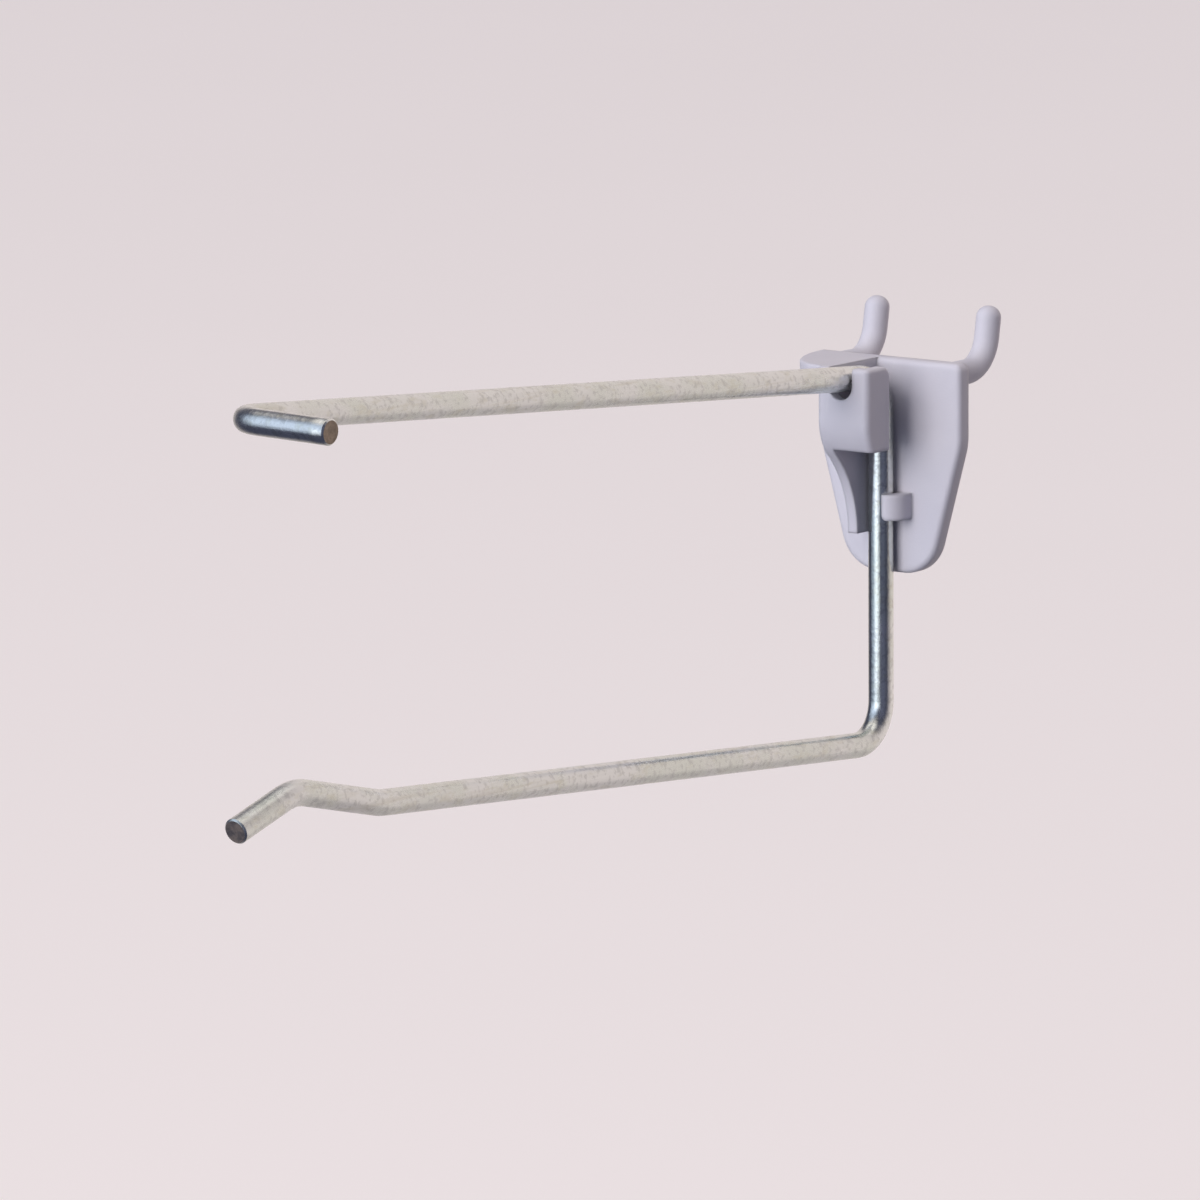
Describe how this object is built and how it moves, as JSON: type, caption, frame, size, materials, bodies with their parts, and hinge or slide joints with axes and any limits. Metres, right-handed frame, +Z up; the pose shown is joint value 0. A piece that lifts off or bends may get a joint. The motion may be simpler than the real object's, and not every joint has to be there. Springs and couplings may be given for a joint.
{
  "type": "pegboard hook",
  "caption": "Display hook for a pegboard: a bent steel wire with a long arm for goods, a label arm ending in a crossbar, and a moulded plastic back with pegs.",
  "frame": {"origin": "midway between the axes of the two pegs, in the flat face of the moulded back that bears on the board", "axes": "+Y into the board, +Z up, +X to the right as seen from the front; the arms run towards -Y"},
  "size_m": [0.0386, 0.2169, 0.089],
  "materials": {
    "zinc_wire": "bright zinc plated, drawn wire",
    "grey_plastic": "satin moulded"
  },
  "bodies": {
    "root": {"wire_hook": "zinc_wire", "peg_backplate": "grey_plastic"}
  },
  "joints": []
}
